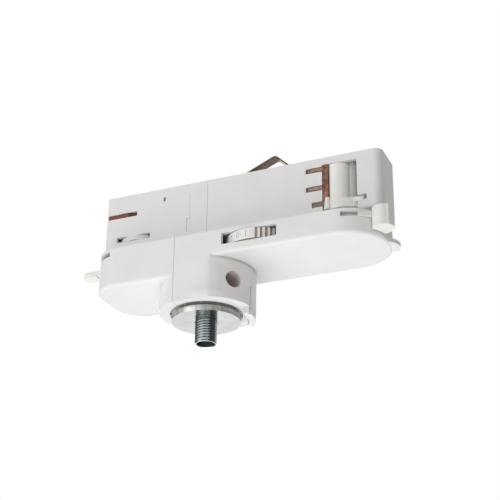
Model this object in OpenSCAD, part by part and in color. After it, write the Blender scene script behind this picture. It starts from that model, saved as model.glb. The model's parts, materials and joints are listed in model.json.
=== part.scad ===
// Three-circuit track adapter: a slim upper body that enters the track, a wider
// lower body with a selector wheel and two turning levers, and a boss below that
// carries a zinc disc and a hollow threaded nipple for the lamp.
// Millimetres. Origin on the nipple axis, on the disc's lower face. +X points
// along the body to the contact lever, +Z up into the track.

/* [Lower body] */
// Width of the lower body and of the boss, also the diameter of the round end
body_w = 31.5; // [30:0.5:34]
// Nipple axis to the contact lever's axis, the centre of the round end
lever_x = 53.9; // [52.5:0.1:58]
// Nipple axis to the left end of the lower body
left_reach = 40.8; // [40:0.1:43]
// Corner radius of the left end
left_corner_r = 11; // [8:0.5:13]
// Depth of the lower body below the ledge
right_depth = 9.3; // [8.8:0.1:11]
// Depth of the deeper left box below the ledge
box_depth = 15.3; // [14:0.1:18]
// Wall thickness of the mouldings
wall = 1.5; // [1.2:0.1:1.7]
// Thickness of the ledge plate between the lower and the upper body
ledge_t = 1.0; // [0.8:0.1:1.2]
// Rounding of the lower rims of the housing
rim_r = 1.2; // [0.4:0.1:1.3]

/* [Upper body] */
// Width of the upper body
upper_w = 16.8; // [16.2:0.1:18]
// Height of the upper body above the ledge
upper_h = 25; // [24:0.5:28]
// Step between the left ends of the lower and the upper body
upper_step = 2.1; // [1:0.1:3]
// Contact lever's axis to the right end of the upper body
upper_right = 15.8; // [15.5:0.1:17]
// Corner radius at the right end of the upper body
upper_corner_r = 3; // [2:0.5:7.5]
// Gap between the ledge and the raised block at the right end
block_gap = 2.2; // [1.5:0.1:3]

/* [Boss] */
// Depth of the boss below the ledge
boss_depth = 25; // [22:0.5:28]
// Radius of the round boss, which is trimmed flush with the body in front and behind
boss_r = 17.4; // [17:0.1:18]
// Nipple axis to the boss's own axis, along the body
boss_shift = 0.5; // [0:0.1:1]
// Radius of the recess above the disc
recess_r = 13.1; // [13:0.1:14]
// Depth of the recess above the disc
recess_d = 1.5; // [1:0.1:2]
// Thickness of the plate that closes the boss
boss_plate_t = 2; // [1.5:0.1:3]
// Height of the hole in the boss's side above the disc's lower face
side_hole_z = 10.7; // [10:0.1:11]
// Radius of the hole in the boss's side
side_hole_r = 3.1; // [2.9:0.1:3.4]
// Direction of the side hole, from +X towards the front
side_hole_turn = 33.4; // [25:0.5:45]

/* [Nipple and disc] */
// Outside diameter of the nipple's thread
nipple_d = 8; // [7.5:0.1:8.5]
// Bore of the nipple
nipple_bore = 6.6; // [5.5:0.1:6.8]
// Free length of the nipple below the disc
nipple_free = 8.3; // [6:0.1:12]
// Diameter of the zinc disc
disc_d = 25; // [24:0.1:26]
// Thickness of the zinc disc
disc_t = 2; // [1.5:0.1:2.5]
// Gap between the disc and the rim of the boss
boss_gap = 1; // [0.8:0.1:2]
// Height of the lock nut
nut_h = 4; // [3:0.1:4.5]
// Width of the lock nut across its flats
nut_af = 13; // [12:0.1:14]

/* [Levers] */
// Height of the lever slots
slot_h = 1.9; // [1.7:0.1:2.3]
// Play of a lever in its slot, above and below
lever_gap = 0.1; // [0.1:0.05:0.2]
// Turn of both levers from the open to the locked position, degrees
lever_turn = 60; // [50:1:62]
// Length of the thumb tab outside the round end
tab_l = 6.6; // [5:0.1:7.5]
// Width of the thumb tab
tab_w = 5.9; // [5:0.1:7]
// Height of the thumb tab
tab_h = 7.6; // [5:0.1:8]
// Left end of the lower body to the lock lever's axis
lock_inset = 13.6; // [13:0.1:14.2]
// Reach of the lock lever's tongue past the left end
tongue_reach = 11.2; // [8:0.1:14]
// Width of the lock lever's tongue
tongue_w = 4.4; // [3.5:0.1:5]
// Radius of the studs that the levers turn on
stud_r = 3; // [2.5:0.1:3.2]
// Radial play of every running fit
run_gap = 0.05; // [0.03:0.01:0.08]

/* [Contacts] */
// Radius of the round hump on the contact rotor
hump_r = 4.6; // [4:0.1:4.8]
// Reach of the contact rotor's locking plate from its axis
lobe_r = 11.2; // [10.8:0.1:11.4]
// Reach of the lock rotor's lobes from its axis
lock_lobe_r = 9.5; // [9.2:0.1:9.6]
// Reach of the contact fingers past the left edge of the rotor's window
finger_l = 5.8; // [4.5:0.1:6]
// Height of a contact finger
finger_h = 1.3; // [1:0.1:1.5]
// Distance between the two contact fingers
finger_pitch = 7.4; // [6:0.1:8]
// Thickness of the contact sheet
sheet_t = 0.8; // [0.6:0.1:0.9]
// Width of the rotor's window
window_w = 12.9; // [12.5:0.1:13.4]
// Rise of the earth spring above the top
spring_rise = 5.9; // [5:0.1:9]
// Width of the earth spring
spring_w = 4; // [3:0.1:4.5]

/* [Selector] */
// Nipple axis to the selector wheel's axis, along the body
wheel_x = 22.85; // [22.5:0.05:23.5]
// Radius of the selector wheel
wheel_r = 13; // [12.5:0.1:13.2]
// Thickness of the selector wheel
wheel_t = 3.8; // [3.2:0.1:4]
// How far the wheel stands proud of the front face
wheel_proud = 0.9; // [0.5:0.1:1.2]
// Width of the wheel's window
wheel_window_w = 20.9; // [19:0.1:22]
// Turn of the wheel between two of its four positions, degrees
wheel_step = 30; // [20:1:35]

/* [Seam] */
// Nipple axis to the seam in the lower body, on the left
seam_low = 6.0; // [5.9:0.05:6.4]
// Nipple axis to the seam in the upper body, on the right
seam_up = 3.1; // [2.5:0.1:4]
// Gap of the seam between the two mouldings
seam_gap = 0.12; // [0.08:0.01:0.2]

/* [Hidden] */
$fn = 96;
lap = 0.4;
big = 300;
free_gap = 0.35;
hole_play = 0.1;

// Levels and half widths of the housing
half = body_w / 2;
uh = upper_w / 2;
lock_x = left_reach - lock_inset;
upper_left = left_reach - upper_step;
inner_y = uh - wall;
boss_floor_z = disc_t + boss_gap;
ledge_z = boss_floor_z + boss_depth;
under_z = ledge_z - ledge_t;
floor_z = ledge_z - right_depth;
inner_floor_z = floor_z + wall;
box_floor_z = ledge_z - box_depth;
box_inner_z = box_floor_z + wall;
top_z = ledge_z + upper_h;
under_top_z = top_z - wall;
plate_z = boss_floor_z + recess_d;
boss_inner_z = plate_z + boss_plate_t;
block_z = ledge_z + block_gap;
shade_z = block_z + wall;

// Nipple, its sleeve and the clamp screw
nipple_r = nipple_d / 2;
nipple_edge = 0.25;
nipple_relief = 0.3;
core_wall = 1.8;
core_r = nipple_r + core_wall;
tunnel_wall = 1;
core_top_z = side_hole_z + side_hole_r + tunnel_wall;
washer_t = 0.6;
washer_in = 0.4;
washer_teeth = 12;
washer_notch = 0.6;
nut_z = core_top_z + washer_t;
nipple_over = 1;
nipple_top_z = nut_z + nut_h + nipple_over;
screw_r = 2.4;
screw_out = 10.5;
screw_slot = 0.9;

// Boss trim
mitre_turn = 2;
lug_t = 2.6;
lug_in = 0.1;
lug_h = 2.6;
lug_from = -8;
lug_to = 38;
groove_d = 0.7;
groove_from = -7;
groove_turn = 3.5;

// Lever slots, studs and lever parts
slot_top_z = under_z - lever_gap;
slot_z = slot_top_z - slot_h;
lever_z = slot_z + lever_gap;
lever_top_z = slot_top_z - lever_gap;
hub_wall = 2;
hub_r = stud_r + hub_wall;
stud_top_z = lever_z - 2 * lever_gap;
tang_w = 4.6;
pivot_r = 2;
pivot_l = wall - lap;
rotor_top_z = under_top_z - free_gap;
disc_r = half - wall - free_gap;
arm_slot_turn = 80;
arm_from = -29;
arm_to = 12.5;
tab_drop = 4.3;
tab_z = slot_z - tab_drop;
tab_in_r = half + free_gap;
tab_turn = -28.5;
tab_lean = 4.8;
tab_front_r = 0.9;
tab_back_r = 3.8;
tab_root = 0.6;
lip_out = 2.7;
lip_up = 0.2;
lip_t = 1.5;
lip_r = 6;
lip_turn = 12;
lip_back = 25;
lip_on = 9;
lock_disc_r = lock_inset - wall - free_gap;
tongue_back = 1.2;
tongue_pad = 0.6;
pad_l = 6;
tongue_slot_x = free_gap - lock_x - (half - wall) / tan(lever_turn) + tongue_w / 2 / sin(lever_turn);

// Contact rotor and lock rotor, about their own axes
window_left = -6.1;
window_right = window_left + window_w;
window_drop = 2.8;
window_play = 0.15;
window_top_z = top_z - window_drop;
hump_top_z = window_top_z - window_play;
drum_r = 6.4;
collar_out = 0.5;
collar_r = uh + collar_out;
collar_z = shade_z + free_gap;
wing_out = 0.4;
wing_from = -56;
wing_to = -36;
cam_rise = 5.8;
cam_z = ledge_z + cam_rise;
cam_t = 1.9;
cam_play = 0.1;
cam_in = 1.1;
cam_slot = lobe_r - cam_in;
chamber_r = lobe_r + free_gap;
lobe_flat = 2 * (uh - sheet_t - 2 * hole_play);
hump_x = -1.0;
hump_y = hump_r - uh;
nose_r = 1.45;
nose_x = -4.3;
nose_out = 0.95;
nose_y = nose_r - nose_out - uh;
nose_over = 1.2;
nose_h = cam_z + cam_t + nose_over - collar_z;
nose_tip_r = 0.8;
core_up_r = 4.5;
finger_drop = 4.4;
finger_top_z = top_z - finger_drop;
finger_low_z = finger_top_z - finger_pitch;
finger_tip = window_left - finger_l;
comb_x = window_left + free_gap;
comb_y = hole_play - uh;
comb_w = 1.9;
comb_leg = 7;
root_r = 0.7;
tip_l = 1.7;
tip_in = 0.5;
foot_tip = cam_in - lobe_r + free_gap;
lock_core_r = 4;
lock_cam_out = 0.3;
lock_cam_r = uh + lock_cam_out;
lock_slot = 7;
lock_from = 200;
lock_to = 219;

// Fixed contacts
spring_t = 0.5;
spring_y = -4;
spring_root_x = 10.3;
spring_foot = 4;
spring_peak_x = 28.6;
spring_crest = 1.6;
spring_end_x = 35.5;
crest_from = 110;
crest_to = 40;
crest_step = 14;
spring_tail = 1.5;
side_rise = 16.8;
side_z = ledge_z + side_rise;
side_h = 1.7;
side_t = 0.6;
side_sink = 0.2;
side_bow = 1;
side_lean = 0.3;
side_bow_x = 5.5;
side_gap = 0.1;
side_over = 1.1;
side_end_x = side_over - lock_x;
side_deep = 3;
side_in_y = side_deep - uh;
oval_x = 14.7;
oval_rise = 20.6;
oval_z = ledge_z + oval_rise;
oval_h = 1.1;
oval_r = 0.45;

// Snap arms between the mouldings
snap_x = 5.1;
snap_hook = 1.3;
snap_t = 1.2;
snap_rise = 5.5;
snap_z = ledge_z + snap_rise;
snap_h = 5.2;
snap_root = 3;
snap_sink = 0.1;
mark_w = 0.25;
mark_d = 0.12;
mark_h = 10;

// Selector
wheel_y = wheel_r - half - wheel_proud;
wheel_up = 2.1;
wheel_z = inner_floor_z + wheel_up;
wheel_play = 0.3;
wheel_web = 1.6;
wheel_rim = 2;
knurl_from = 284;
knurl_to = 420;
knurl_step = 8;
knurl_r = 0.5;
knurl_d = 0.6;
axle_r = 2;
axle_seat = 0.8;
leaf_l = 18;
leaf_t = 0.3;
leaf_y = wheel_y + wheel_r + free_gap;
leaf_in = 0.7;
post_w = 2;
wiper_t = 0.5;
wiper_r = 8;
pad_r = 1.3;
strip_t = 0.6;
strip_w = 1.6;
strip_gap = 1;
strip_step = 3;
rib_t = 1.2;
rib_x = lever_x - disc_r - 2 * free_gap - strip_t - rib_t;
rib_rise = 18;
rib_top_z = ledge_z + rib_rise;

// Terminal block in the left box
poles = 4;
pole_pitch = 5.4;
pole_w = 5;
pole_z = 3.2;
block_x = (lock_x - hub_r + seam_low) / 2;
block_l = 11;
block_h = 7.5;
sleeve_r = 1.9;
sleeve_bore = 1.3;
pole_screw_x = 3;
pole_screw_r = 1.3;
pole_slot = 0.5;

// Helpers

// A plan shape raised from one height to another
module slab(z0, z1) {
  translate([0, 0, z0]) linear_extrude(z1 - z0) children();
}

// A box between two corners
module block(low, high) {
  translate(low) cube(high - low);
}

// Part of a ring about the Z axis, from angle a0 to a1
module ring_part(r0, r1, z0, z1, a0, a1) {
  translate([0, 0, z0]) rotate([0, 0, a0])
    rotate_extrude(angle = a1 - a0) translate([r0, 0]) square([r1 - r0, z1 - z0]);
}

function unit(v) = v / norm(v);
function left_of(v) = [-v.y, v.x];
function side_of(path, i) = left_of(unit(path[i + 1] - path[i]));
function mitre(a, b) = let (m = unit(a + b)) m / (m * a);
function path_normal(path, i) =
  i == 0 ? side_of(path, 0)
  : i == len(path) - 1 ? side_of(path, i - 1)
  : mitre(side_of(path, i - 1), side_of(path, i));

// A bent strip of even thickness along a path
module strip(path, t) {
  last = len(path) - 1;
  polygon(concat(
    [for (i = [0 : last]) path[i] + path_normal(path, i) * t / 2],
    [for (i = [last : -1 : 0]) path[i] - path_normal(path, i) * t / 2]
  ));
}

module at_lever() {
  translate([lever_x, 0, 0]) children();
}

module at_lock() {
  translate([-lock_x, 0, 0]) children();
}

module at_wheel() {
  translate([wheel_x, wheel_y, 0]) children();
}

// The front shape and its half-turn copy at the back
module both_sides() {
  for (turn = [0, 180]) rotate([0, 0, turn]) children();
}

// Plans of the housing, each drawn inset by i

module lower_plan(i) {
  corner_x = left_corner_r - left_reach;
  corner_y = half - left_corner_r;
  translate([lever_x, 0]) circle(half - i);
  translate([corner_x, i - half]) square([lever_x - corner_x, body_w - 2 * i]);
  translate([i - left_reach, -corner_y]) square([left_corner_r, 2 * corner_y]);
  for (y = [-corner_y, corner_y]) translate([corner_x, y]) circle(left_corner_r - i);
}

module box_plan(i) {
  intersection() {
    lower_plan(i);
    translate([-seam_low - big, -big / 2]) square([big, big]);
  }
}

// Round boss with a flat in front and behind
module boss_plan(i) {
  intersection() {
    translate([boss_shift, 0]) circle(boss_r - i);
    square([big, body_w - 2 * i], center = true);
  }
}

module upper_plan(i) {
  right_x = lever_x + upper_right;
  corner_y = uh - upper_corner_r;
  translate([i - upper_left, i - uh])
    square([upper_left + right_x - upper_corner_r - i, upper_w - 2 * i]);
  translate([right_x - upper_corner_r - lap, -corner_y])
    square([upper_corner_r + lap - i, 2 * corner_y]);
  for (y = [-corner_y, corner_y])
    translate([right_x - upper_corner_r, y]) circle(upper_corner_r - i);
}

// What a rounding takes off a lower rim: x runs outwards from the rim, y upwards
module rim_profile() {
  difference() {
    translate([-rim_r, -lap]) square([rim_r + lap, rim_r + lap]);
    translate([-rim_r, rim_r]) circle(rim_r);
  }
}

// Rounding along a straight rim, with the outside on the right of the way from a to b
module round_line(a, b) {
  way = unit(b - a);
  translate(b) rotate([90, 0, atan2(-way.x, way.y)]) linear_extrude(norm(b - a)) rim_profile();
}

// Rounding along an arc of the rim about a point
module round_arc(centre, r, a0, a1) {
  translate(centre) rotate([0, 0, a0]) rotate_extrude(angle = a1 - a0) translate([r, 0]) rim_profile();
}

module right_rim() {
  translate([0, 0, floor_z]) {
    round_line([-seam_low, -half], [lever_x, -half]);
    round_arc([lever_x, 0], half, -90, 90);
    round_line([lever_x, half], [-seam_low, half]);
  }
}

module box_rim() {
  corner_x = left_corner_r - left_reach;
  corner_y = half - left_corner_r;
  translate([0, 0, box_floor_z]) {
    round_line([-seam_low, half], [corner_x, half]);
    round_arc([corner_x, corner_y], left_corner_r, 90, 180);
    round_line([-left_reach, corner_y], [-left_reach, -corner_y]);
    round_arc([corner_x, -corner_y], left_corner_r, 180, 270);
    round_line([corner_x, -half], [-seam_low, -half]);
  }
}

// Rounding below the raised block at the right end of the upper body
module block_rim() {
  from_x = lever_x + window_right;
  right_x = lever_x + upper_right;
  corner_x = right_x - upper_corner_r;
  corner_y = uh - upper_corner_r;
  translate([0, 0, block_z]) {
    round_line([from_x, -uh], [corner_x, -uh]);
    round_arc([corner_x, -corner_y], upper_corner_r, -90, 0);
    round_line([right_x, -corner_y], [right_x, corner_y]);
    round_arc([corner_x, corner_y], upper_corner_r, 0, 90);
    round_line([corner_x, uh], [from_x, uh]);
  }
}

module boss_rim() {
  flat_turn = asin(half / boss_r);
  flat_x = boss_r * cos(flat_turn) + lap;
  translate([boss_shift, 0, boss_floor_z]) both_sides() {
    round_arc([0, 0], boss_r, -flat_turn - mitre_turn, flat_turn + mitre_turn);
    round_line([-flat_x, -half], [flat_x, -half]);
  }
}

// The housing before it is split

module outer_form() {
  difference() {
    slab(floor_z, ledge_z) lower_plan(0);
    right_rim();
  }
  difference() {
    slab(box_floor_z, floor_z + 2 * rim_r) box_plan(0);
    box_rim();
  }
  difference() {
    slab(boss_floor_z, floor_z + 2 * rim_r) boss_plan(0);
    boss_rim();
  }
  difference() {
    slab(ledge_z - lap, top_z) upper_plan(0);
    block([lever_x + window_right, -half, ledge_z - 2 * lap], [lever_x + big, half, block_z]);
    block_rim();
  }
}

module inner_form() {
  slab(inner_floor_z, under_z) lower_plan(wall);
  slab(box_inner_z, inner_floor_z + lap) box_plan(wall);
  slab(boss_inner_z, inner_floor_z + lap) boss_plan(wall);
  intersection() {
    slab(shade_z, under_top_z) upper_plan(wall);
    block([-big, -half, 0], [lever_x + chamber_r, half, big]);
  }
  intersection() {
    slab(under_z - lap, shade_z + lap) upper_plan(wall);
    block([-big, -half, 0], [lever_x + window_right - wall, half, big]);
  }
}

// Openings of the housing

// The window, cam slot and finger slots of the contact rotor, on both sides
module rotor_openings() {
  out_y = -uh - lap;
  in_y = lap - inner_y;
  both_sides() {
    block([window_left, out_y, ledge_z], [window_right, in_y, window_top_z]);
    block([-cam_slot, out_y, cam_z - cam_play], [cam_slot, in_y, cam_z + cam_t + cam_play]);
    finger_slot(finger_top_z);
  }
  finger_slot(finger_low_z);
  translate([0, 0, under_top_z - lap]) cylinder(h = pivot_l + lap, r = pivot_r + run_gap);
}

module finger_slot(z) {
  rise = finger_h / 2 + free_gap;
  block([finger_tip - free_gap, -uh - lap, z - rise], [window_left + lap, lap - inner_y, z + rise]);
}

// The cam slots of the lock rotor and its pivot hole
module lock_openings() {
  both_sides()
    block([-lock_slot, -uh - lap, cam_z - cam_play], [lock_slot, lap - inner_y, cam_z + cam_t + cam_play]);
  translate([0, 0, under_top_z - lap]) cylinder(h = pivot_l + lap, r = pivot_r + run_gap);
}

// The slot that the lock lever's tongue swings in
module tongue_slot() {
  block([-left_reach - lap, -half - lap, slot_z], [tongue_slot_x, tongue_w / 2 + tongue_back, slot_top_z]);
}

// The slot round the right end that the contact lever's arm swings in
module arm_slot() {
  ring_part(half - wall - lap, half + lap, slot_z, slot_top_z, -arm_slot_turn, arm_slot_turn);
}

module wheel_window() {
  block([wheel_x - wheel_window_w / 2, -half - lap, wheel_z - wheel_play],
        [wheel_x + wheel_window_w / 2, wall + lap - half, wheel_z + wheel_t + wheel_play]);
}

// The slot of the side contact, open at the left end
module side_slot() {
  rise = side_h / 2 + hole_play;
  block([-upper_left - lap, -uh - lap, side_z - rise], [side_end_x, side_in_y, side_z + rise]);
}

// The slot in the top that the earth spring stands in
module spring_slot() {
  block([spring_root_x, spring_y - spring_w / 2 - free_gap, under_top_z - lap],
        [spring_end_x + free_gap + spring_t, spring_y + spring_w / 2 + free_gap, top_z + lap]);
}

// A small oval hole in the front wall
module oval_hole() {
  for (z = [oval_z - oval_h / 2, oval_z + oval_h / 2])
    translate([-oval_x, lap - inner_y, z]) rotate([90, 0, 0]) cylinder(h = wall + 2 * lap, r = oval_r);
  block([-oval_x - oval_r, -uh - lap, oval_z - oval_h / 2],
        [oval_r - oval_x, lap - inner_y, oval_z + oval_h / 2]);
}

module housing_openings() {
  at_lever() rotor_openings();
  at_lever() arm_slot();
  at_lock() lock_openings();
  tongue_slot();
  wheel_window();
  side_slot();
  spring_slot();
  oval_hole();
  slab(boss_floor_z - lap, plate_z) circle(recess_r);
}

module housing_shell() {
  difference() {
    outer_form();
    inner_form();
    housing_openings();
  }
}

// Which part of the shell belongs to which moulding

module right_side() {
  block([seam_gap / 2 - seam_low, -big, -big], [big, big, ledge_z]);
  block([seam_up + seam_gap / 2, -big, ledge_z - lap], [big, big, big]);
}

module left_side() {
  block([-big, -big, -big], [-seam_low - seam_gap / 2, big, big]);
  block([-big, -big, ledge_z + seam_gap], [seam_up - seam_gap / 2, big, big]);
}

// Inner features of the mouldings

// Sleeve round the nipple, with the tunnel of the clamp screw
module nipple_core() {
  slab(disc_t, core_top_z) circle(core_r);
  along_screw() cylinder(h = boss_r - wall / 2, r = side_hole_r + tunnel_wall);
}

module along_screw() {
  translate([0, 0, side_hole_z]) rotate([0, 0, -side_hole_turn]) rotate([0, 90, 0]) children();
}

module core_holes() {
  slab(0, core_top_z + lap) circle(nipple_r + hole_play);
  along_screw() cylinder(h = screw_out, r = screw_r + hole_play);
  along_screw() translate([0, 0, screw_out]) cylinder(h = body_w, r = side_hole_r);
}

// Snap arm that reaches into the left moulding, with its hook
module snap_arm() {
  low_y = inner_y - snap_t - hole_play;
  block([-snap_x, low_y, snap_z], [seam_up + snap_root, inner_y - hole_play, snap_z + snap_h]);
  block([seam_up + seam_gap, low_y, snap_z], [seam_up + snap_root, inner_y + lap, snap_z + snap_h]);
  block([-snap_x, low_y, snap_z], [-snap_x + snap_hook, uh - snap_sink, snap_z + snap_h]);
}

// Faint upright line above the snap window
module snap_mark() {
  right_x = snap_hook - snap_x;
  block([right_x - mark_w, uh - mark_d, snap_z + snap_h], [right_x, uh + lap, snap_z + snap_h + mark_h]);
}

module snap_window() {
  block([-snap_x - hole_play, inner_y - lap, snap_z - hole_play],
        [-snap_x + snap_hook + hole_play, uh + lap, snap_z + snap_h + hole_play]);
}

module front_and_back() {
  children();
  mirror([0, 1, 0]) children();
}

// Rib that the phase strips stand against
module strip_rib() {
  block([rib_x, -inner_y - lap, inner_floor_z + 2 * strip_t], [rib_x + rib_t, inner_y + lap, rib_top_z]);
}

// Posts that the selector's spring leans on
module spring_posts() {
  for (x = [wheel_x - leaf_l / 2, wheel_x + leaf_l / 2 - post_w])
    block([x, leaf_y + leaf_t, inner_floor_z - lap], [x + post_w, half - wall + lap, under_z + lap]);
}

// Stop lug under the right rim of the boss and the groove above it
module stop_lug() {
  translate([boss_shift, 0, 0])
    ring_part(boss_r - lug_t, boss_r - lug_in, boss_floor_z - lug_h, boss_floor_z + 2 * rim_r,
              lug_from, lug_to);
}

module lug_groove() {
  translate([boss_shift, 0, boss_floor_z - lug_h])
    ring_part(boss_r - groove_d, boss_r + lap, -lap, side_hole_z - boss_floor_z + lug_h,
              groove_from, groove_from + groove_turn);
}

// Nose-shaped lip at the foot of the round end, cut off square behind
module end_lip() {
  low_z = floor_z + lip_up;
  intersection() {
    slab(low_z, low_z + lip_t) rotate(lip_turn) translate([half + lip_out - lip_r, 0]) circle(lip_r);
    ring_part(half - lap, half + lip_out + lap, low_z - lap, low_z + lip_t + lap,
              lip_turn - lip_back, lip_turn + lip_on);
  }
}

module right_housing() {
  color("whitesmoke") difference() {
    union() {
      intersection() {
        housing_shell();
        right_side();
      }
      nipple_core();
      stop_lug();
      strip_rib();
      spring_posts();
      front_and_back() snap_arm();
      at_lever() slab(floor_z, stud_top_z) circle(stud_r);
      at_lever() end_lip();
    }
    core_holes();
    lug_groove();
    at_wheel() slab(inner_floor_z - axle_seat, inner_floor_z + lap) circle(axle_r + run_gap);
    at_wheel() slab(under_z - lap, under_z + axle_seat / 2) circle(axle_r + run_gap);
  }
}

module left_housing() {
  color("white") difference() {
    union() {
      intersection() {
        housing_shell();
        left_side();
      }
      at_lock() slab(box_floor_z, inner_floor_z) circle(hub_r);
      at_lock() slab(box_floor_z, stud_top_z) circle(stud_r);
    }
    front_and_back() {
      snap_window();
      snap_mark();
    }
  }
}

// Disc, nipple and its fastening

module mount_disc() {
  color("silver") slab(0, disc_t) difference() {
    circle(disc_d / 2);
    circle(nipple_r + hole_play);
  }
}

module threaded_nipple() {
  color("lightsteelblue") translate([0, 0, -nipple_free])
    rotate_extrude() polygon([
      [nipple_bore / 2, 0],
      [nipple_r - nipple_edge, 0],
      [nipple_r, nipple_edge],
      [nipple_r, nipple_free],
      [nipple_r - nipple_relief, nipple_free],
      [nipple_r - nipple_relief, nipple_free + disc_t],
      [nipple_r, nipple_free + disc_t],
      [nipple_r, nipple_top_z + nipple_free - nipple_edge],
      [nipple_r - nipple_edge, nipple_top_z + nipple_free],
      [nipple_bore / 2, nipple_top_z + nipple_free]
    ]);
}

module lock_washer() {
  color("silver") slab(core_top_z, core_top_z + washer_t) difference() {
    circle(nut_af / 2 - washer_in);
    circle(nipple_r + hole_play);
    for (turn = [0 : 360 / washer_teeth : 359])
      rotate([0, 0, turn]) translate([nut_af / 2 - washer_in, 0]) circle(washer_notch);
  }
}

module nipple_nut() {
  color("silver") slab(nut_z, nut_z + nut_h) difference() {
    circle(nut_af / 2 / cos(30), $fn = 6);
    circle(nipple_r + hole_play);
  }
}

module clamp_screw() {
  color("dimgray") along_screw() difference() {
    translate([0, 0, nipple_r + hole_play]) cylinder(h = screw_out - nipple_r - hole_play, r = screw_r);
    translate([-screw_r - lap, -screw_slot / 2, screw_out - screw_slot])
      cube([2 * screw_r + 2 * lap, screw_slot, screw_slot + lap]);
  }
}

// Terminals

module at_poles() {
  for (i = [0 : poles - 1])
    translate([-block_x, (i - (poles - 1) / 2) * pole_pitch, box_inner_z]) children();
}

module pole_bore(r) {
  translate([-block_l / 2 - lap, 0, pole_z]) rotate([0, 90, 0]) cylinder(h = block_l + 2 * lap, r = r);
}

module terminal_block() {
  color("ivory") difference() {
    union() {
      at_poles() translate([-block_l / 2, -pole_w / 2, 0]) cube([block_l, pole_w, block_h]);
      translate([-block_x - block_l / 4, -(poles - 1) * pole_pitch / 2, box_inner_z])
        cube([block_l / 2, (poles - 1) * pole_pitch, block_h / 2]);
    }
    at_poles() pole_bore(sleeve_r);
    at_poles() for (x = [-pole_screw_x, pole_screw_x])
      translate([x, 0, pole_z]) cylinder(h = block_h, r = pole_screw_r + hole_play);
  }
}

module terminal_sleeves() {
  color("goldenrod") difference() {
    at_poles() translate([-block_l / 2, 0, pole_z]) rotate([0, 90, 0]) cylinder(h = block_l, r = sleeve_r);
    at_poles() pole_bore(sleeve_bore);
    at_poles() for (x = [-pole_screw_x, pole_screw_x])
      translate([x, 0, pole_z]) cylinder(h = block_h, r = pole_screw_r + hole_play);
  }
}

module terminal_screws() {
  low_z = pole_z + sleeve_bore / 2;
  color("gray") at_poles() for (x = [-pole_screw_x, pole_screw_x]) translate([x, 0, 0]) difference() {
    translate([0, 0, low_z]) cylinder(h = block_h - low_z, r = pole_screw_r);
    translate([-pole_screw_r, -pole_slot / 2, block_h - pole_slot])
      cube([2 * pole_screw_r, pole_slot, block_h]);
  }
}

// Fixed contacts

module earth_spring() {
  middle = [spring_peak_x, top_z + spring_rise - spring_crest];
  crest = [for (a = [crest_from : -crest_step : crest_to]) middle + spring_crest * [cos(a), sin(a)]];
  path = concat(
    [
      [spring_root_x - spring_foot, under_top_z - spring_t / 2],
      [spring_root_x + spring_t, under_top_z - spring_t / 2]
    ],
    crest,
    [
      [spring_end_x, top_z],
      [spring_end_x, under_top_z - spring_tail]
    ]
  );
  color("peru") translate([0, spring_y + spring_w / 2, 0]) rotate([90, 0, 0])
    linear_extrude(spring_w) strip(path, spring_t);
}

module side_contact() {
  face_y = side_t / 2 - uh + side_sink;
  path = [
    [side_gap - upper_left, face_y + side_lean],
    [-lock_x - side_bow_x, face_y],
    [side_end_x - 2 * side_bow_x / 3, face_y],
    [side_end_x - free_gap - side_t / 2, face_y + side_bow],
    [side_end_x - free_gap - side_t / 2, side_in_y]
  ];
  color("peru") slab(side_z - side_h / 2, side_z + side_h / 2) strip(path, side_t);
}

// Where the selector's wiper meets strip i
function pad_at(i) = [
  wheel_x + wiper_r * cos((i + 1) * wheel_step),
  wheel_y + wiper_r * sin((i + 1) * wheel_step)
];

// Height of riser i across the body
function riser_y(i) = inner_y - hole_play - strip_w / 2 - (2 - i) * (strip_w + strip_gap);

// A strip from the selector's pad along the floor and up the rib by the contact rotor
module phase_strip(i) {
  pad = pad_at(i);
  turn_x = rib_x - strip_w;
  riser_x = rib_x + rib_t;
  lane_y = i < 2 ? pad.y : pad_at(1).y + strip_w + strip_gap;
  path = [
    pad,
    [pad.x + strip_w, lane_y],
    [max(pad_at(0).x, pad.x) + 2 * strip_w, lane_y],
    [turn_x, riser_y(i)],
    [riser_x + strip_t, riser_y(i)]
  ];
  color("peru") {
    slab(inner_floor_z, inner_floor_z + strip_t) {
      translate(pad) circle(pad_r);
      strip(path, strip_w);
    }
    block([riser_x, riser_y(i) - strip_w / 2, inner_floor_z],
          [riser_x + strip_t, riser_y(i) + strip_w / 2, rib_top_z - i * strip_step]);
  }
}

module phase_strip_1() {
  phase_strip(0);
}

module phase_strip_2() {
  phase_strip(1);
}

module phase_strip_3() {
  phase_strip(2);
}

// Selector

module selector_axle() {
  color("silver") at_wheel() slab(inner_floor_z - axle_seat, under_z + axle_seat / 2) circle(axle_r);
}

module selector_spring() {
  color("silver") block([wheel_x - leaf_l / 2, leaf_y, wheel_z + leaf_in],
                        [wheel_x + leaf_l / 2, leaf_y + leaf_t, wheel_z + wheel_t - leaf_in]);
}

module selector_wheel() {
  color("white") at_wheel() difference() {
    slab(wheel_z, wheel_z + wheel_t) circle(wheel_r);
    slab(wheel_z + wheel_web, wheel_z + wheel_t + lap) difference() {
      circle(wheel_r - wheel_rim);
      circle(axle_r + wheel_rim);
    }
    slab(wheel_z - lap, wheel_z + wheel_t + lap) circle(axle_r + run_gap);
    for (a = [knurl_from : knurl_step : knurl_to]) rotate([0, 0, a])
      translate([wheel_r + knurl_r - knurl_d, 0, wheel_z - lap]) cylinder(h = wheel_t + 2 * lap, r = knurl_r);
  }
}

module selector_wiper() {
  color("peru") at_wheel() {
    slab(wheel_z - wiper_t, wheel_z) difference() {
      union() {
        circle(axle_r + 2 * wiper_t + pad_r);
        translate([0, -pad_r]) square([wiper_r, 2 * pad_r]);
        translate([wiper_r, 0]) circle(pad_r);
      }
      circle(axle_r + free_gap);
    }
    translate([wiper_r, 0, inner_floor_z + strip_t + free_gap])
      cylinder(h = wheel_z - wiper_t - inner_floor_z - strip_t - free_gap, r1 = pad_r / 2, r2 = pad_r);
  }
}

// Levers and rotors

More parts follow.
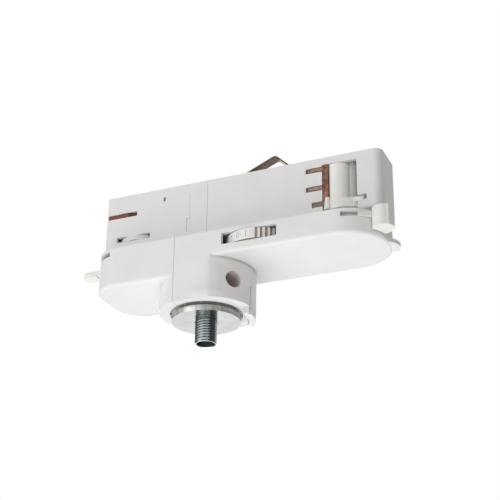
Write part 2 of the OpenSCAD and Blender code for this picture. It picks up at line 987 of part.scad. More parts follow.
// The disc and hub of a lever, with its stud bore and the socket of its rotor
module lever_disc(r) {
  difference() {
    union() {
      slab(lever_z, lever_top_z) circle(r);
      slab(inner_floor_z + free_gap, lever_z + lap) circle(hub_r);
      children();
    }
    slab(inner_floor_z - lap, lever_z) circle(stud_r + run_gap);
    slab(lever_z - lap, lever_top_z + lap) square(tang_w + hole_play, center = true);
  }
}

// Plan of the thumb tab, with a tight corner in front and a wide one behind
module tab_plan() {
  front_x = tab_l - tab_front_r;
  front_y = tab_front_r - tab_w / 2;
  back_x = tab_l - tab_back_r;
  back_y = tab_w / 2 - tab_back_r;
  translate([-tab_root, -tab_w / 2]) square([back_x + tab_root, tab_w]);
  translate([-tab_root, -tab_w / 2]) square([front_x + tab_root, tab_w - tab_back_r]);
  translate([-tab_root, front_y]) square([tab_l + tab_root, back_y - front_y]);
  translate([front_x, front_y]) circle(tab_front_r);
  translate([back_x, back_y]) circle(tab_back_r);
}

// Thumb tab outside the round end
module thumb_tab() {
  difference() {
    slab(tab_z, tab_z + tab_h)
      rotate(tab_turn) translate([half, 0]) rotate(tab_lean) tab_plan();
    slab(tab_z - lap, tab_z + tab_h + lap) circle(tab_in_r);
  }
  ring_part(disc_r - lap, tab_in_r + tab_root, lever_z, lever_top_z, tab_turn + arm_from, tab_turn + arm_to);
}

module contact_lever() {
  color("white") at_lever() lever_disc(disc_r) thumb_tab();
}

// Flat tongue with a thicker finger pad at its tip
module tongue() {
  tip_x = lock_x - left_reach - tongue_reach;
  slab(lever_z, lever_top_z) {
    translate([tip_x + tongue_w / 2, -tongue_w / 2]) square([-tip_x - tongue_w / 2, tongue_w]);
    translate([tip_x + tongue_w / 2, 0]) circle(tongue_w / 2);
  }
  slab(lever_z - tongue_pad, lever_top_z) {
    translate([tip_x + tongue_w / 2, -tongue_w / 2]) square([pad_l - tongue_w / 2, tongue_w]);
    translate([tip_x + tongue_w / 2, 0]) circle(tongue_w / 2);
  }
}

module lock_lever() {
  color("white") at_lock() lever_disc(lock_disc_r) tongue();
}

// The core of a rotor, from the lever's socket to the pivot in the top
module rotor_core(r) {
  slab(lever_top_z, rotor_top_z) circle(r);
  slab(lever_z + lever_gap, lever_top_z + lap) square(tang_w, center = true);
  slab(rotor_top_z - lap, under_top_z + pivot_l - lever_gap) circle(pivot_r);
}

module contact_rotor() {
  color("white") at_lever() difference() {
    union() {
      rotor_core(core_up_r);
      slab(collar_z, cam_z + cam_t) circle(collar_r);
      locking_plate();
      slab(cam_z + cam_t - lap, rotor_top_z) circle(drum_r);
      collar_wing();
      both_sides() {
        slab(cam_z + cam_t - lap, hump_top_z) translate([hump_x, hump_y]) circle(hump_r);
        translate([nose_x, nose_y, collar_z]) cylinder(h = nose_h, r1 = nose_r, r2 = nose_tip_r);
      }
    }
    both_sides() comb_spine();
    comb_foot();
  }
}

// Wider part of the collar, beside the right edge of the window
module collar_wing() {
  both_sides() ring_part(drum_r, collar_r + wing_out, collar_z, cam_z + lap, wing_from, wing_to);
}

// Round plate with two flats, which turns its ends out through the cam slots
module locking_plate() {
  slab(cam_z, cam_z + cam_t) intersection() {
    circle(lobe_r);
    square([big, lobe_flat], center = true);
  }
}

// Folded spine of a contact comb
module comb_spine() {
  low_z = cam_z + cam_t;
  block([comb_x, comb_y, low_z], [comb_x + comb_w, comb_y + sheet_t, hump_top_z]);
  block([comb_x, comb_y, low_z], [comb_x + sheet_t, comb_y + comb_leg, hump_top_z]);
}

// Finger with its tip bent inwards and a rounded root on the spine
module comb_finger(z) {
  mid_y = comb_y + sheet_t / 2;
  path = [[comb_x + lap, mid_y], [finger_tip + tip_l, mid_y], [finger_tip, mid_y + tip_in]];
  slab(z - finger_h / 2, z + finger_h / 2) strip(path, sheet_t);
  for (up = [0, 1]) translate([comb_x, comb_y, z]) mirror([0, 0, up]) finger_root();
}

module finger_root() {
  translate([0, sheet_t, finger_h / 2]) rotate([90, 0, 0]) linear_extrude(sheet_t) difference() {
    translate([-root_r, -lap]) square([root_r + lap, root_r + lap]);
    translate([-root_r, root_r]) circle(root_r);
  }
}

// Low contact at the foot of the front spine, in the left end of the cam slot
module comb_foot() {
  block([foot_tip, comb_y, cam_z], [comb_x + comb_w, comb_y + sheet_t, cam_z + cam_t]);
  block([comb_x, comb_y, cam_z], [comb_x + comb_w, comb_y + sheet_t, cam_z + cam_t + lap]);
}

module front_comb() {
  color("chocolate") at_lever() {
    comb_spine();
    comb_finger(finger_top_z);
    comb_finger(finger_low_z);
    comb_foot();
  }
}

module rear_comb() {
  color("chocolate") at_lever() rotate([0, 0, 180]) {
    comb_spine();
    comb_finger(finger_top_z);
  }
}

module lock_rotor() {
  color("white") at_lock() {
    rotor_core(lock_core_r);
    slab(cam_z, cam_z + cam_t) {
      circle(lock_cam_r);
      for (turn = [0, 180]) rotate(turn) lock_lobe();
    }
  }
}

// Plan of a lobe that turns out through the lock rotor's slot
module lock_lobe() {
  intersection() {
    circle(lock_lobe_r);
    polygon([[0, 0], big * [cos(lock_from), sin(lock_from)], big * [cos(lock_to), sin(lock_to)]]);
  }
}

right_housing();
left_housing();
mount_disc();
threaded_nipple();
lock_washer();
nipple_nut();
clamp_screw();
terminal_block();
terminal_sleeves();
terminal_screws();
earth_spring();
side_contact();
phase_strip_1();
phase_strip_2();
phase_strip_3();
selector_axle();
selector_spring();
selector_wheel();
selector_wiper();
contact_lever();
contact_rotor();
front_comb();
rear_comb();
lock_lever();
lock_rotor();
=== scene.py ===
import json
import math

import bmesh
import bpy
from mathutils import Matrix, Vector


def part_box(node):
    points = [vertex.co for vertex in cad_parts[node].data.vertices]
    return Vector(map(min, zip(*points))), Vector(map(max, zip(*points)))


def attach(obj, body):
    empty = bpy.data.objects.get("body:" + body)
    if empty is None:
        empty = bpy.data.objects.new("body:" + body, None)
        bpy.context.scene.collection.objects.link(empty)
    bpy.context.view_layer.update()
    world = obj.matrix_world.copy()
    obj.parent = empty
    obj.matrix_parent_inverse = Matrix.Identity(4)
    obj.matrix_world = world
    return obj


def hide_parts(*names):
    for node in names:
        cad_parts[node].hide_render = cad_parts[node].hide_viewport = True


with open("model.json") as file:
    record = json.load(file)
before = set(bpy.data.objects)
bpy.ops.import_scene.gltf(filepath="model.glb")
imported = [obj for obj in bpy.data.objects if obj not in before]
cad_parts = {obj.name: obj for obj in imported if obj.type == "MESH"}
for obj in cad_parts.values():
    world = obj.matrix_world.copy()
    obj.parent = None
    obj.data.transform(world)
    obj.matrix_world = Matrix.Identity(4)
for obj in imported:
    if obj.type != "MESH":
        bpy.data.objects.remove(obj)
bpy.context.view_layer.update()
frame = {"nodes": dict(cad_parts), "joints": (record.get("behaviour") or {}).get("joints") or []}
cad = frame["nodes"]
scene = bpy.context.scene
mm = 0.001


# Shader helpers

class Wire:  # a node's output that can stand in a sum
    def __init__(self, nodes, socket):
        self.nodes = nodes
        self.socket = socket

    def sum(self, operation, first, second):
        return self.nodes.add("Math", {"operation": operation}, {0: first, 1: second})

    def __add__(self, other):
        return self.sum("ADD", self, other)

    def __radd__(self, other):
        return self.sum("ADD", other, self)

    def __sub__(self, other):
        return self.sum("SUBTRACT", self, other)

    def __rsub__(self, other):
        return self.sum("SUBTRACT", other, self)

    def __mul__(self, other):
        return self.sum("MULTIPLY", self, other)

    def __rmul__(self, other):
        return self.sum("MULTIPLY", other, self)


class Nodes:  # a node tree and the one way to add to it
    def __init__(self, tree):
        self.tree = tree

    def add(self, kind, settings=None, sockets=None, out=0):
        made = self.tree.nodes.new("ShaderNode" + kind)
        for key, value in (settings or {}).items():
            if key == "stops":
                self.fillRamp(made.color_ramp, value)
            else:
                setattr(made, key, value)
        for key, value in (sockets or {}).items():
            self.feed(made.inputs[key], value)
        return Wire(self, made.outputs[out])

    def feed(self, socket, value):
        if isinstance(value, Wire):
            self.tree.links.new(value.socket, socket)
        else:
            socket.default_value = value

    def fillRamp(self, ramp, stops):
        for element, (spot, colour) in zip(ramp.elements, stops):
            element.position = spot
            element.color = (*colour, 1)

    def vector(self, operation, first, second=(0, 0, 0)):
        out = "Value" if operation in ("LENGTH", "DOT_PRODUCT") else "Vector"
        return self.add("VectorMath", {"operation": operation}, {0: first, 1: second}, out)

    def span(self, value, start, end, top=1.0):  # 0 before the start, the top past the end
        sockets = {"Value": value, "From Min": start, "From Max": end, "To Max": top}
        return self.add("MapRange", {"interpolation_type": "SMOOTHSTEP"}, sockets)

    def ray(self, kind):  # 1 for rays of that kind
        return self.add("LightPath", out="Is " + kind + " Ray")


class Finish(Nodes):  # one material and the nodes that make it
    def __init__(self, name):
        self.material = bpy.data.materials.new(name)
        self.material.use_nodes = True
        super().__init__(self.material.node_tree)
        self.shader = self.tree.nodes["Principled BSDF"]
        self.place = self.add("TexCoord", out="Object")

    def axes(self, letters, where=None):
        return [self.add("SeparateXYZ", None, {0: where or self.place}, out=letter) for letter in letters]

    def facing(self, letter, start=0.35, end=0.75):  # 1 on the faces that look along an axis, either way
        lean = self.axes(letter, self.add("TexCoord", out="Normal"))[0]
        return self.span(lean * lean, start, end)

    def noise(self, size, detail=2, where=None):  # size is the width of a patch in metres
        sockets = {"Vector": where or self.place, "Scale": 1 / size, "Detail": detail}
        return self.add("TexNoise", None, sockets)

    def blend(self, low, high, factor, start=0.3, end=0.7):  # noise seldom goes past these two
        return self.add("ValToRGB", {"stops": [(start, low), (end, high)]}, {"Fac": factor})

    def tint(self, factor, first, second):  # each colour is a wire or three numbers
        first, second = (c if isinstance(c, Wire) else (*c, 1) for c in (first, second))
        return self.add("Mix", {"data_type": "RGBA"}, {0: factor, 6: first, 7: second}, out=2)

    def shine(self, **sockets):
        for key, value in sockets.items():
            self.feed(self.shader.inputs[key.replace("_", " ")], value)

    def grain(self, height, depth, strength, normal=None):
        sockets = {"Height": height, "Distance": depth, "Strength": strength}
        if normal:
            sockets["Normal"] = normal
        self.feed(self.shader.inputs["Normal"], self.add("Bump", None, sockets))


def bearingLine(degrees):  # level line at a bearing from the body's length
    turn = math.radians(degrees)
    return (math.cos(turn), math.sin(turn), 0)


# White mouldings, levers and rotors

plasticLook = {
    "flow": 9 * mm,          # patches left by the melt
    "spark": 0.16 * mm,      # fine spark-eroded grain of the mould
    "rough": 0.40,
    "roughPlay": 0.16,
    "specular": 0.42,
    "sink": 1.5,
    "depth": 0.012 * mm,
    "strength": 0.35,
}
bossZone = {
    "low": 3.3 * mm,         # heights between which the upright edges are soft
    "lowFull": 4.5 * mm,
    "highFull": 15.7 * mm,
    "high": 18.7 * mm,
    "near": 12.4 * mm,       # depth from the middle at which the softness starts
    "far": 13.6 * mm,
    "corner": 8 * mm,
    "radius": 5 * mm,
    "samples": 8,
    "jointLow": 17.2 * mm,   # painted shade along the top of the round side, for the gap under the right moulding
    "jointFull": 18.55 * mm,
    "jointStart": 7 * mm,
    "jointPast": 13 * mm,
    # colour of the painted shade along the top of the boss
    "dust": (0.52, 0.51, 0.49),
}
screwHole = {
    "turn": -33.4,           # degrees from the body's length
    "height": 10.7 * mm,
    "radius": 3.12 * mm,
    "edge": 3.25 * mm,
    "start": 5 * mm,
    "colour": (0.725, 0.645, 0.625),
}


def softCorner(finish, zone):  # the boss's upright edges are rounder than the rest
    across, deep, height = finish.axes("XYZ")
    inside = finish.span(height, zone["low"], zone["lowFull"])
    inside = inside * (1 - finish.span(height, zone["highFull"], zone["high"]))
    inside = inside * finish.span(deep * deep, zone["near"] ** 2, zone["far"] ** 2)
    inside = inside * finish.span(0 - across * deep, 0, zone["corner"] ** 2)  # not where the seam runs
    sharp = finish.add("NewGeometry", out="Normal")
    rounded = finish.add("Bevel", {"samples": zone["samples"]}, {"Radius": zone["radius"]})
    return finish.add("Mix", {"data_type": "VECTOR"}, {0: inside, 4: sharp, 5: rounded}, out=1)


def jointShade(finish, zone):  # 1 where painted shade darkens the top of the boss's round side, under the right moulding
    across, height = finish.axes("XZ")
    rise = finish.span(height, zone["jointLow"], zone["jointFull"])
    rise = rise * (1 - finish.span(height, zone["jointFull"], zone["high"]))
    return rise * finish.span(across, zone["jointStart"], zone["jointPast"])


def holeShade(finish, hole):  # 1 on the wall of the clamp screw's hole
    line = bearingLine(hole["turn"])
    spoke = finish.vector("SUBTRACT", finish.place, (0, 0, hole["height"]))
    along = finish.vector("DOT_PRODUCT", spoke, line)
    reach = finish.vector("LENGTH", finish.vector("CROSS_PRODUCT", spoke, line))
    return finish.span(along, 0, hole["start"]) * (1 - finish.span(reach, hole["radius"], hole["edge"]))


def mouldedPlastic(name, pale, deep, look, zone=None, hole=None):
    finish = Finish(name)
    flow = finish.noise(look["flow"], 3)
    spark = finish.noise(look["spark"], 2)
    colour = finish.blend(deep, pale, flow)
    if hole:
        colour = finish.tint(holeShade(finish, hole), colour, hole["colour"])
    if zone:
        # painted shade along the top of the boss
        colour = finish.tint(jointShade(finish, zone), colour, zone["dust"])
    finish.shine(
        Base_Color=colour,
        Roughness=look["rough"] + look["roughPlay"] * spark,
        Specular_IOR_Level=look["specular"],
    )
    normal = zone and softCorner(finish, zone)
    finish.grain(spark + look["sink"] * flow, look["depth"], look["strength"], normal)
    return finish.material


whitePlastic = mouldedPlastic("white_moulding", (0.80, 0.795, 0.78), (0.77, 0.765, 0.75), plasticLook,
                              bossZone, screwHole)
leverPlastic = mouldedPlastic("lever_moulding", (0.83, 0.815, 0.775), (0.79, 0.775, 0.735), plasticLook)
# a paler copy of the lever moulding: painted light, lifting the rotor out of the shade of its window
rotorPlasticPaintedLight = mouldedPlastic("rotor_moulding_painted_light", (0.90, 0.885, 0.845), (0.86, 0.845, 0.805), plasticLook)
blockPlastic = mouldedPlastic("terminal_moulding", (0.70, 0.69, 0.60), (0.66, 0.65, 0.56), plasticLook)
dialInk = mouldedPlastic("dial_ink", (0.46, 0.45, 0.44), (0.40, 0.39, 0.38), plasticLook)


# Selector wheel's plastic

wheelLow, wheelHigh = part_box("selector_wheel")
wheel = {
    "axis": frame["joints"][0]["pos_m"],
    "rim": (wheelHigh.x - wheelLow.x) / 2,
    "middle": (wheelLow.z + wheelHigh.z) / 2,
}
dialLook = {
    **plasticLook,
    "pale": (0.82, 0.81, 0.775),
    "deep": (0.78, 0.77, 0.735),
    # colour of the painted shade down in the knurl grooves
    "grooveShade": (0.34, 0.28, 0.225),
    "groove": 0.55 * mm,
    "lip": 0.12 * mm,
}


def knurledDial(name, look):  # pale on the outside, with painted shade down in the knurl
    finish = Finish(name)
    spoke = finish.vector("SUBTRACT", finish.place, wheel["axis"])
    reach = finish.vector("LENGTH", finish.vector("MULTIPLY", spoke, (1, 1, 0)))
    # 0 down in the knurl, where the painted shade goes
    unshaded = finish.span(reach, wheel["rim"] - look["groove"], wheel["rim"] - look["lip"])
    flow = finish.noise(look["flow"], 3)
    plain = finish.blend(look["deep"], look["pale"], flow)
    finish.shine(
        Base_Color=finish.tint(unshaded, look["grooveShade"], plain),
        Roughness=look["rough"] + look["roughPlay"] * flow,
    )
    finish.grain(finish.noise(look["spark"], 2), look["depth"], look["strength"])
    return finish.material


dialPlastic = knurledDial("dial_moulding", dialLook)


# Zinc, steel, copper and brass

zincLook = {
    "stain": 3.5 * mm,
    "mark": 0.10 * mm,
    "pull": (1, 1, 0.1),     # marks drawn out along Z
    "rough": 0.10,
    "roughPlay": 0.25,
    "depth": 0.004 * mm,
    "strength": 0.25,
}
copperLook = {
    "stain": 1.6 * mm,
    "mark": 0.12 * mm,
    "pull": (0.15, 1, 1),    # rolled along X
    "rough": 0.26,
    "roughPlay": 0.5,
    "depth": 0.010 * mm,
    "strength": 0.4,
}
brassLook = {**copperLook, "rough": 0.22, "stain": 2.4 * mm}
steelLook = {**zincLook, "rough": 0.2, "stain": 2 * mm}
boreLook = {**zincLook, "rough": 0.55}


def platedMetal(name, bright, dull, look, edge=None):  # edge is a painted-shade colour for the faces that look along Y
    finish = Finish(name)
    stains = finish.noise(look["stain"], 4)
    marks = finish.noise(look["mark"], 2, finish.vector("MULTIPLY", finish.place, look["pull"]))
    colour = finish.blend(dull, bright, stains)
    # painted shade on the faces that look along Y
    if edge:
        colour = finish.tint(finish.facing("Y"), colour, edge)
    finish.shine(
        Base_Color=colour,
        Metallic=1.0,
        Roughness=look["rough"] + look["roughPlay"] * stains * marks,
    )
    finish.grain(marks, look["depth"], look["strength"])
    return finish.material


# the thread is far darker than the end zinc: partly its own dull grey-green plating, partly painted shade
# for the dark surroundings it mirrors
threadZincDullAndShaded = platedMetal("thread_zinc_dull_and_shaded", (0.34, 0.365, 0.37), (0.225, 0.25, 0.255), zincLook)
endZinc = platedMetal("end_zinc", (0.85, 0.87, 0.87), (0.75, 0.77, 0.77), zincLook)
boreShade = platedMetal("bore_shade", (0.055, 0.065, 0.07), (0.03, 0.036, 0.04), boreLook)
platedSteel = platedMetal("plated_steel", (0.66, 0.67, 0.68), (0.55, 0.56, 0.58), steelLook)
darkSteel = platedMetal("dark_steel", (0.20, 0.17, 0.15), (0.12, 0.10, 0.09), steelLook)
copperSheet = platedMetal("copper_sheet", (0.37, 0.20, 0.13), (0.19, 0.085, 0.05), copperLook)
sideCopper = platedMetal("side_copper", (0.13, 0.052, 0.036), (0.055, 0.024, 0.016), copperLook)
# the spring's faces that look along Y get painted shade
springBronze = platedMetal("spring_bronze", (0.40, 0.30, 0.24), (0.24, 0.17, 0.135), copperLook,
                           (0.07, 0.042, 0.032))
brassTube = platedMetal("brass_tube", (0.72, 0.53, 0.24), (0.58, 0.41, 0.17), brassLook)


# Zinc of the disc

discLook = {
    "cloud": 5 * mm,
    "streak": 1.5 * mm,
    "brush": (1, 1, 0.05),   # streaks drawn out along Z
    "faceBright": (0.80, 0.82, 0.815),
    "faceDull": (0.68, 0.70, 0.70),
    # the rim's own brushed grey-green, darkened with painted shade for the shaded recess it mirrors
    "rimShadedPale": (0.56, 0.57, 0.53),
    "rimShadedDark": (0.30, 0.31, 0.285),
    "faceRough": 0.10,
    "cloudRough": 0.10,
    "rimRough": 0.42,
    "depth": 0.01 * mm,
    "strength": 0.3,
}


def turnedDisc(name, look):  # a mirror face, and a rim brushed along the axis and darkened with painted shade
    finish = Finish(name)
    face = finish.facing("Z")
    clouds = finish.noise(look["cloud"], 3)
    streaks = finish.noise(look["streak"], 3, finish.vector("MULTIPLY", finish.place, look["brush"]))
    mirror = finish.blend(look["faceDull"], look["faceBright"], clouds)
    rim = finish.blend(look["rimShadedDark"], look["rimShadedPale"], streaks)
    rough = look["rimRough"] - (look["rimRough"] - look["faceRough"]) * face
    finish.shine(
        Base_Color=finish.tint(face, rim, mirror),
        Metallic=1.0,
        Roughness=rough + look["cloudRough"] * face * clouds,
    )
    finish.grain(streaks * (1 - face), look["depth"], look["strength"])
    return finish.material


discZinc = turnedDisc("disc_zinc", discLook)


# Copper of the comb

combLook = {
    "stain": 1.3 * mm,
    # painted light and shade: a dark red spine and pale fingers, over the copper's own stains
    "spineBright": (0.235, 0.122, 0.084),
    "spineDark": (0.06, 0.028, 0.02),
    "armBright": (0.29, 0.2, 0.16),
    "armDark": (0.08, 0.052, 0.04),
    # painted shade at the fingers' tips and at the foot
    "tipShade": (0.13, 0.10, 0.09),
    "footShade": (0.115, 0.078, 0.06),
    "rough": 0.28,
    "roughPlay": 0.3,
    "depth": 0.03 * mm,
    "strength": 0.5,
    "spineAt": 0.74,         # share of the comb's length at which the spine starts
    "footTall": 2 * mm,
    "fade": 0.8 * mm,
    "tipFade": 1.6 * mm,
}


def stampedComb(name, look):  # painted shade makes the spine dark red and dulls the tips and the foot, painted highlight makes the fingers pale; the stains are the copper's own
    low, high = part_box("front_comb")
    spineEdge = low.x + look["spineAt"] * (high.x - low.x)
    footEdge = low.z + look["footTall"]
    finish = Finish(name)
    along, height = finish.axes("XZ")
    stains = finish.noise(look["stain"], 4)
    finger = 1 - finish.span(along, spineEdge - look["fade"], spineEdge)
    tip = 1 - finish.span(along, low.x, low.x + look["tipFade"])
    foot = 1 - finish.span(height, footEdge, footEdge + look["fade"])
    spine = finish.blend(look["spineDark"], look["spineBright"], stains)
    arm = finish.blend(look["armDark"], look["armBright"], stains)
    # painted highlight on the fingers, painted shade on the spine, the tips and the foot
    litAndShaded = finish.tint(finger, spine, finish.tint(tip, arm, look["tipShade"]))
    finish.shine(
        Base_Color=finish.tint(foot, litAndShaded, look["footShade"]),
        Metallic=1.0,
        Roughness=look["rough"] + look["roughPlay"] * stains,
    )
    finish.grain(stains, look["depth"], look["strength"])
    return finish.material


combCopper = stampedComb("comb_copper", combLook)
print("finishes:", len(bpy.data.materials))


# CAD nodes

finishOf = {
    whitePlastic: ["right_housing", "left_housing"],
    leverPlastic: ["contact_lever", "lock_lever", "lock_rotor"],
    rotorPlasticPaintedLight: ["contact_rotor"],
    dialPlastic: ["selector_wheel"],
    blockPlastic: ["terminal_block"],
    discZinc: ["mount_disc"],
    threadZincDullAndShaded: ["threaded_nipple"],
    platedSteel: ["lock_washer", "nipple_nut", "terminal_screws", "selector_axle", "selector_spring"],
    darkSteel: ["clamp_screw"],
    copperSheet: ["phase_strip_1", "phase_strip_2", "phase_strip_3", "selector_wiper", "rear_comb"],
    combCopper: ["front_comb"],
    sideCopper: ["side_contact"],
    springBronze: ["earth_spring"],
    brassTube: ["terminal_sleeves"],
}
edges = {
    "flat": math.radians(0.6),     # faces closer than this are joined before the edges are rounded
    "sharp": math.radians(28),
    "segments": 2,
    "width": {                     # in millimetres
        "right_housing": 0.28,
        "left_housing": 0.28,
        "contact_lever": 0.3,
        "contact_rotor": 0.2,
        "lock_lever": 0.3,
        "lock_rotor": 0.2,
        "selector_wheel": 0.1,
        "mount_disc": 0.2,
        "front_comb": 0.1,
        "rear_comb": 0.1,
        "earth_spring": 0.08,
        "side_contact": 0.08,
    },
}


def dressNode(name, material):
    node = cad[name]
    node.data.materials.clear()
    node.data.materials.append(material)


def roundEdges(name, width):
    node = cad[name]
    join = node.modifiers.new("joinFlat", "DECIMATE")
    join.decimate_type = "DISSOLVE"
    join.angle_limit = edges["flat"]
    soft = node.modifiers.new("softEdge", "BEVEL")
    soft.width = width * mm
    soft.segments = edges["segments"]
    soft.limit_method = "ANGLE"
    soft.angle_limit = edges["sharp"]
    soft.use_clamp_overlap = True
    soft.harden_normals = True


for material, names in finishOf.items():
    for name in names:
        dressNode(name, material)
for name, width in edges["width"].items():
    roundEdges(name, width)
print("nodes dressed, edges rounded on", len(edges["width"]))


# Mesh helpers

def meshData(name, mesh):  # takes over a bmesh and frees it
    data = bpy.data.meshes.new(name)
    mesh.to_mesh(data)
    mesh.free()
    return data


def addObject(name, data):
    made = bpy.data.objects.new(name, data)
    scene.collection.objects.link(made)
    return made


# Threaded nipple

nipple = {
    "pitch": 1.0 * mm,
    "depth": 0.5 * mm,
    "steep": 1.35,           # slope of the flanks, which leaves a flat on the crest
    "root": 0.1,             # and one in the root
    "bore": 3.3 * mm,
    "lead": 0.6 * mm,        # length of the chamfered lead-in
    "edge": 0.25 * mm,       # how far the lead-in goes down at the end
    "mouth": 0.1 * mm,
    "around": 72,
    "perTurn": 10,
    "sharp": math.radians(50),
}


def makeRevolved(name, rows, around):  # closed skin through rows of (radius by angle, height)
    mesh = bmesh.new()
    rings = []
    for radiusAt, height in rows:
        ring = []
        for step in range(around):
            angle = 2 * math.pi * step / around
            radius = radiusAt(angle)
            ring.append(mesh.verts.new((radius * math.cos(angle), radius * math.sin(angle), height)))
        rings.append(ring)
    for low, high in zip(rings, rings[1:] + rings[:1]):
        for step in range(around):
            following = (step + 1) % around
            mesh.faces.new((low[step], low[following], high[following], high[step]))
    bmesh.ops.recalc_face_normals(mesh, faces=mesh.faces)
    return addObject(name, meshData(name, mesh))


def threadRadius(height, foot, tip, outer):
    lead = min(1.0, (height - foot) / nipple["lead"], (tip - height) / nipple["lead"])

    def radiusAt(angle):
        turn = height / nipple["pitch"] - angle / (2 * math.pi)
        flank = abs(2 * (turn % 1) - 1)                     # 0 in the root, 1 on the crest
        crest = min(1.0, max(0.0, nipple["steep"] * flank - nipple["root"]))
        return outer - nipple["depth"] * (1 - crest) * lead - nipple["edge"] * (1 - lead)
    return radiusAt


def evenRadius(radius):
    return lambda angle: radius


def makeNipple():
    low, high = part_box("threaded_nipple")
    bore = nipple["bore"]
    mouth = nipple["mouth"]
    count = round((high.z - low.z) / nipple["pitch"] * nipple["perTurn"])
    rows = []
    for step in range(count + 1):
        height = low.z + (high.z - low.z) * step / count
        rows.append((threadRadius(height, low.z, high.z, high.x), height))
    wide = evenRadius(bore + mouth)
    narrow = evenRadius(bore)
    rows += [(wide, high.z), (narrow, high.z - mouth), (narrow, low.z + mouth), (wide, low.z)]
    piece = makeRevolved("nipple_thread", rows, nipple["around"])
    piece.data.shade_smooth()
    piece.data.set_sharp_from_angle(angle=nipple["sharp"])
    for material in (threadZincDullAndShaded, boreShade, endZinc):
        piece.data.materials.append(material)
    for face in piece.data.polygons:
        if face.center.xy.length < bore + mouth / 4:
            face.material_index = 1
        elif face.center.z < low.z + mouth:
            face.material_index = 2
    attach(piece, "housing")
    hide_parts("threaded_nipple")
    print("nipple:", len(piece.data.polygons), "faces")


makeNipple()


# Selector numbers

dial = {
    "digits": "0123",
    "height": 2.0 * mm,
    "letter": 1.4,           # letter size for a digit of height 1
    "proud": 0.01 * mm,
    "first": -108,           # degrees about the wheel's axis, at the front
    "step": -30,
    "tickWide": 0.35 * mm,
    "tickTall": 2.2 * mm,
}


def flatDigit(digit):  # the digit's mesh, lying flat about the origin
    text = bpy.data.curves.new("digit", "FONT")
    text.body = digit
    text.size = dial["height"] * dial["letter"]
    text.align_x = "CENTER"
    text.align_y = "CENTER"
    text.extrude = dial["proud"]
    shape = addObject("digitShape", text)
    bpy.context.view_layer.update()
    data = bpy.data.meshes.new_from_object(shape.evaluated_get(bpy.context.evaluated_depsgraph_get()))
    bpy.data.objects.remove(shape)
    bpy.data.curves.remove(text)
    return data


def addMark(name, data):
    data.materials.clear()
    data.materials.append(dialInk)
    piece = addObject(name, data)
    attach(piece, "selector")


def makeDigits():
    axis = wheel["axis"]
    radius = wheel["rim"] + dial["proud"]
    for index, digit in enumerate(dial["digits"]):
        data = flatDigit(digit)
        start = math.radians(dial["first"] + dial["step"] * index)
        for vertex in data.vertices:
            angle = start + vertex.co.x / radius
            reach = radius + vertex.co.z - dial["proud"]
            vertex.co = Vector((axis[0] + reach * math.cos(angle), axis[1] + reach * math.sin(angle),
                                wheel["middle"] + vertex.co.y))
        addMark("dial_number_" + digit, data)
    print("dial numbers:", len(dial["digits"]))


def makeTicks():
    axis = wheel["axis"]
    mesh = bmesh.new()
    for index in range(len(dial["digits"]) + 1):        # one on each side of every number
        angle = math.radians(dial["first"] + dial["step"] * (index - 0.5))
        bar = bmesh.ops.create_cube(mesh, size=1)["verts"]
        bmesh.ops.scale(mesh, vec=(2 * dial["proud"], dial["tickWide"], dial["tickTall"]), verts=bar)
        bmesh.ops.translate(mesh, vec=(wheel["rim"], 0, 0), verts=bar)
        bmesh.ops.rotate(mesh, matrix=Matrix.Rotation(angle, 3, "Z"), verts=bar)
    bmesh.ops.translate(mesh, vec=(axis[0], axis[1], wheel["middle"]), verts=mesh.verts)
    addMark("dial_ticks", meshData("dial_ticks", mesh))
    print("dial ticks:", len(dial["digits"]) + 1)


makeDigits()
makeTicks()


# Camera at the photograph's angle

view = {
    "turn": 23.42,           # degrees to the right of straight on
    "rise": 24.8,            # degrees upwards, because the camera stands below
    "roll": 0.67,
    "target": (0, 0, 8.73 * mm),
    "shiftX": -15.574 * mm,
    "shiftY": -18.116 * mm,
    "distance": 429.25 * mm,
    "lens": 85.47,
    "sensor": 36,
    "nearest": 0.01,
}


def placeCamera():
    turn, rise, roll = (math.radians(view[key]) for key in ("turn", "rise", "roll"))
    ahead = Vector((-math.sin(turn) * math.cos(rise), math.cos(turn) * math.cos(rise), math.sin(rise)))
    right = Vector((math.cos(turn), math.sin(turn), 0))
    up = right.cross(ahead)
    side = right * math.cos(roll) + up * math.sin(roll)
    top = up * math.cos(roll) - right * math.sin(roll)
    spot = Vector(view["target"]) - side * view["shiftX"] - top * view["shiftY"] - ahead * view["distance"]
    camera = bpy.data.cameras.new("photoCamera")
    camera.lens = view["lens"]
    camera.sensor_width = view["sensor"]
    camera.clip_start = view["nearest"]
    holder = addObject("photoCamera", camera)
    turned = Matrix((side, top, -ahead)).transposed().to_4x4()
    holder.matrix_world = Matrix.Translation(spot) @ turned
    scene.camera = holder
    print("camera at", tuple(round(c, 4) for c in spot))


placeCamera()


# Floor and light

studio = {
    "floorZ": -0.62,
    "floorSize": 6.0,
    "floorCells": 8,
    "floorColour": (0.86, 0.86, 0.86),
    "floorPlay": 0.01,       # how much paler its clouds are
    "floorCloud": 0.4,
    "floorRough": 0.9,
    "mirrored": 0.9,         # the floor as the metals reflect it
    "pale": 0.75,            # share of white that the camera sees, over the floor's own shadow
    "fade": (0.7, 2.4),      # the floor goes over to white between these distances
    "sky": 0.43,
    "flags": [               # dark cards that the metals mirror: bearing in degrees and depth of shade
        {"bearing": 17, "shade": 0.8, "edge": (0.4, 0.83)},
        {"bearing": 162, "shade": 0.8, "edge": (0.7, 0.93)},
    ],
    "aim": (0.015, 0, 0.025),
    "lamps": {
        "key": {"spot": (-0.50, -0.85, 0.28), "size": 0.8, "power": 4.1},
        "under": {"spot": (-0.06, -0.07, -0.56), "size": 1.0, "power": 4.3},
        "back": {"spot": (-0.5, 0.7, 0.6), "size": 0.9, "power": 3.2},
    },
}


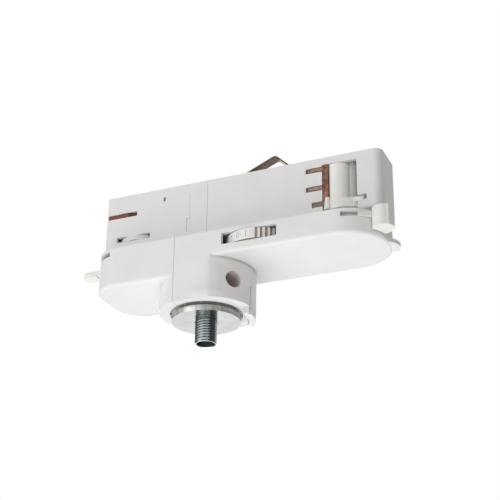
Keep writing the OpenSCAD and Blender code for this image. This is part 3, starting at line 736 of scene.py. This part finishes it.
def flagShade(nodes, toward):  # 0 in the open, up to each card's own depth of shade
    clear = 1.0
    for flag in studio["flags"]:
        near = nodes.vector("DOT_PRODUCT", toward, bearingLine(flag["bearing"]))
        clear = clear * (1 - nodes.span(near, *flag["edge"], flag["shade"]))
    return 1 - clear


def floorFinish():
    finish = Finish("studio_floor")
    paler = tuple(c + studio["floorPlay"] for c in studio["floorColour"])
    cloud = finish.noise(studio["floorCloud"])
    finish.shine(
        Base_Color=finish.blend(studio["floorColour"], paler, cloud),
        Roughness=studio["floorRough"],
    )
    plain = Wire(finish, finish.shader.outputs[0])
    glossy = finish.ray("Glossy")
    seen = finish.ray("Camera")
    shade = flagShade(finish, finish.vector("NORMALIZE", finish.place))
    mirrored = finish.tint(shade * glossy, (studio["mirrored"],) * 3, (0, 0, 0))
    glow = finish.add("Emission", None, {"Color": finish.tint(seen, mirrored, (1, 1, 1))})
    far = finish.span(finish.vector("LENGTH", finish.place), *studio["fade"])
    cover = studio["pale"] + (1 - studio["pale"]) * far
    mixed = finish.add("MixShader", None, {0: glossy + cover * seen, 1: plain, 2: glow})
    finish.feed(finish.tree.nodes["Material Output"].inputs["Surface"], mixed)
    return finish.material


def makeFloor():
    mesh = bmesh.new()
    cells = studio["floorCells"]
    bmesh.ops.create_grid(mesh, x_segments=cells, y_segments=cells, size=studio["floorSize"] / 2)
    floor = addObject("studioFloor", meshData("studioFloor", mesh))
    floor.location.z = studio["floorZ"]
    floor.data.materials.append(floorFinish())


def makeWorld():
    world = bpy.data.worlds.new("studioWorld")
    world.use_nodes = True
    scene.world = world
    nodes = Nodes(world.node_tree)
    ground = nodes.tree.nodes["Background"]
    camera, glossy, through = (nodes.ray(kind) for kind in ("Camera", "Glossy", "Transmission"))
    seen = camera.sum("MAXIMUM", camera, glossy.sum("MAXIMUM", glossy, through))
    light = studio["sky"] + (1 - studio["sky"]) * seen
    shade = flagShade(nodes, nodes.add("TexCoord", out="Generated"))
    nodes.feed(ground.inputs["Strength"], light * (1 - shade * glossy))
    nodes.feed(ground.inputs["Color"], (1, 1, 1, 1))


def makeLamp(name, look):
    lamp = bpy.data.lights.new(name, "AREA")
    lamp.shape = "SQUARE"
    lamp.size = look["size"]
    lamp.energy = look["power"]
    holder = addObject(name, lamp)
    holder.location = look["spot"]
    aim = Vector(studio["aim"]) - holder.location
    holder.rotation_euler = aim.to_track_quat("-Z", "Y").to_euler()


makeFloor()
makeWorld()
for lampName, lampLook in studio["lamps"].items():
    makeLamp(lampName, lampLook)
scene.view_settings.view_transform = "Standard"
print("studio ready")
